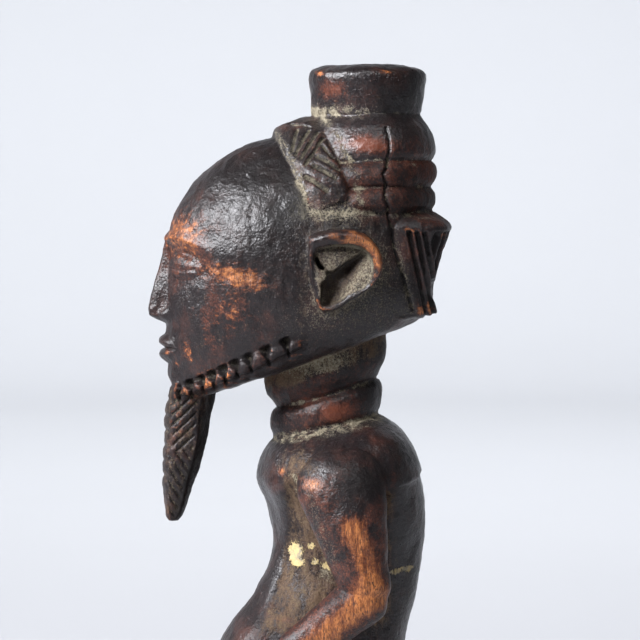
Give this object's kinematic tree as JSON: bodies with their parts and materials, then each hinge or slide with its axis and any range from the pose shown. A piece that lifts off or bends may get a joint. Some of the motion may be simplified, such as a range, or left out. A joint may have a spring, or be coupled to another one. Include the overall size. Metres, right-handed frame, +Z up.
{
  "type": "carved wooden standing figure",
  "caption": "Dark carved wooden standing figure with a large head, ringed neck, long engraved beard, tiered headdress, hands on the belly and a low round base.",
  "frame": {"origin": "centre of the underside of the round base, on the surface it stands on", "axes": "+Z up, -Y the way the figure faces, +X the figure's left side"},
  "size_m": [0.0848, 0.0981, 0.2996],
  "materials": {
    "patinated_wood": "dark oiled patina, worn to orange-brown wood on the raised places, with pale dirt in the hollows"
  },
  "bodies": {
    "root": {"figure": "patinated_wood"}
  },
  "joints": []
}
